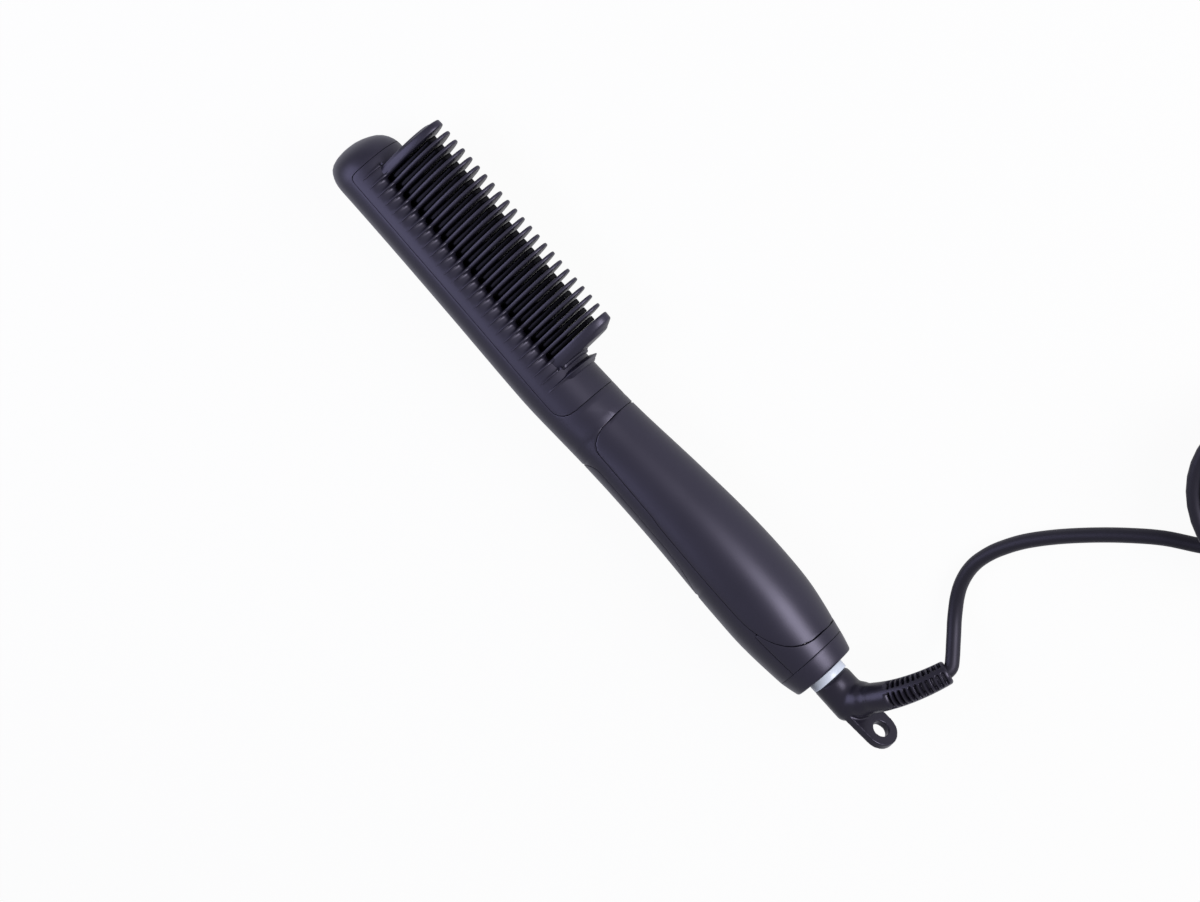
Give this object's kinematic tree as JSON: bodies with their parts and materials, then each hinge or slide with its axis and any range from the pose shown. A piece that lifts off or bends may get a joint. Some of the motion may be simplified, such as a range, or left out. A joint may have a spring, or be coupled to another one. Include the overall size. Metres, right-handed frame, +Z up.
{
  "type": "hair straightener comb",
  "caption": "Handheld hair straightener: round wand with arched guard teeth over a heated comb, slim handle, control panel and a swivelling cord with a hang loop.",
  "frame": {"origin": "centre of the footprint's box on the surface it lies on, without the cord", "axes": "+X along the wand from the comb's tip to the tail, +Y the way the teeth point, +Z up from the surface that the wand lies on"},
  "size_m": [0.3586, 0.2678, 0.0397],
  "materials": {
    "shell_plastic": "satin",
    "button_plastic": "satin",
    "gloss_panel": "gloss",
    "hot_coating": "gloss",
    "swivel_plastic": "satin",
    "collar_plastic": "gloss",
    "cord_rubber": "matte",
    "heat_frame": "matte",
    "ceramic": "matte",
    "mica": "satin",
    "steel": "satin",
    "brass": "satin",
    "wire": "satin",
    "board": "satin",
    "components": "satin"
  },
  "bodies": {
    "wand": {"back_shell": "shell_plastic", "comb_cover": "shell_plastic", "handle_front_cover": "shell_plastic", "tail_bridge": "shell_plastic", "control_panel": "shell_plastic", "button_plate": "gloss_panel", "display_window": "gloss_panel", "heater_comb": "hot_coating", "heater_frame": "heat_frame", "ceramic_heater": "ceramic", "mica_sheet": "mica", "heater_clamp": "steel", "heater_screws": "steel", "thermistor": "brass", "thermal_fuse": "steel", "heater_leads": "wire", "main_board": "board", "display_module": "heat_frame", "tact_switches": "steel", "board_components": "components", "board_screws": "steel", "mains_leads": "wire", "end_cap": "shell_plastic", "swivel_bush": "steel", "brush_holder": "heat_frame", "brush_contacts": "brass"},
    "power_button": {"power_button": "button_plastic"},
    "temperature_up_button": {"temperature_up_button": "button_plastic"},
    "temperature_down_button": {"temperature_down_button": "button_plastic"},
    "swivel": {"swivel_core": "collar_plastic", "retaining_clip": "steel", "slip_rings": "brass", "swivel_elbow": "swivel_plastic", "strain_relief": "swivel_plastic", "cord": "cord_rubber", "cord_coil": "cord_rubber", "coil_tie": "cord_rubber", "plug_lead": "cord_rubber", "plug_body": "cord_rubber", "plug_blades": "brass"}
  },
  "joints": [
    {"name": "power_press", "type": "slide", "parent": "wand", "child": "power_button", "axis": [0, 1, 0], "range_m": [0, 0.0006], "stiffness_N_per_m": 1500, "springref_m": -0.0004},
    {"name": "temperature_up_press", "type": "slide", "parent": "wand", "child": "temperature_up_button", "axis": [0, 1, 0], "range_m": [0, 0.0006], "stiffness_N_per_m": 1500, "springref_m": -0.0004},
    {"name": "temperature_down_press", "type": "slide", "parent": "wand", "child": "temperature_down_button", "axis": [0, 1, 0], "range_m": [0, 0.0006], "stiffness_N_per_m": 1500, "springref_m": -0.0004},
    {"name": "cord_swivel", "type": "hinge", "parent": "wand", "child": "swivel", "pos_m": [0.11554, -0.01214, 0.018], "axis": [1, 0, 0], "continuous": true}
  ]
}
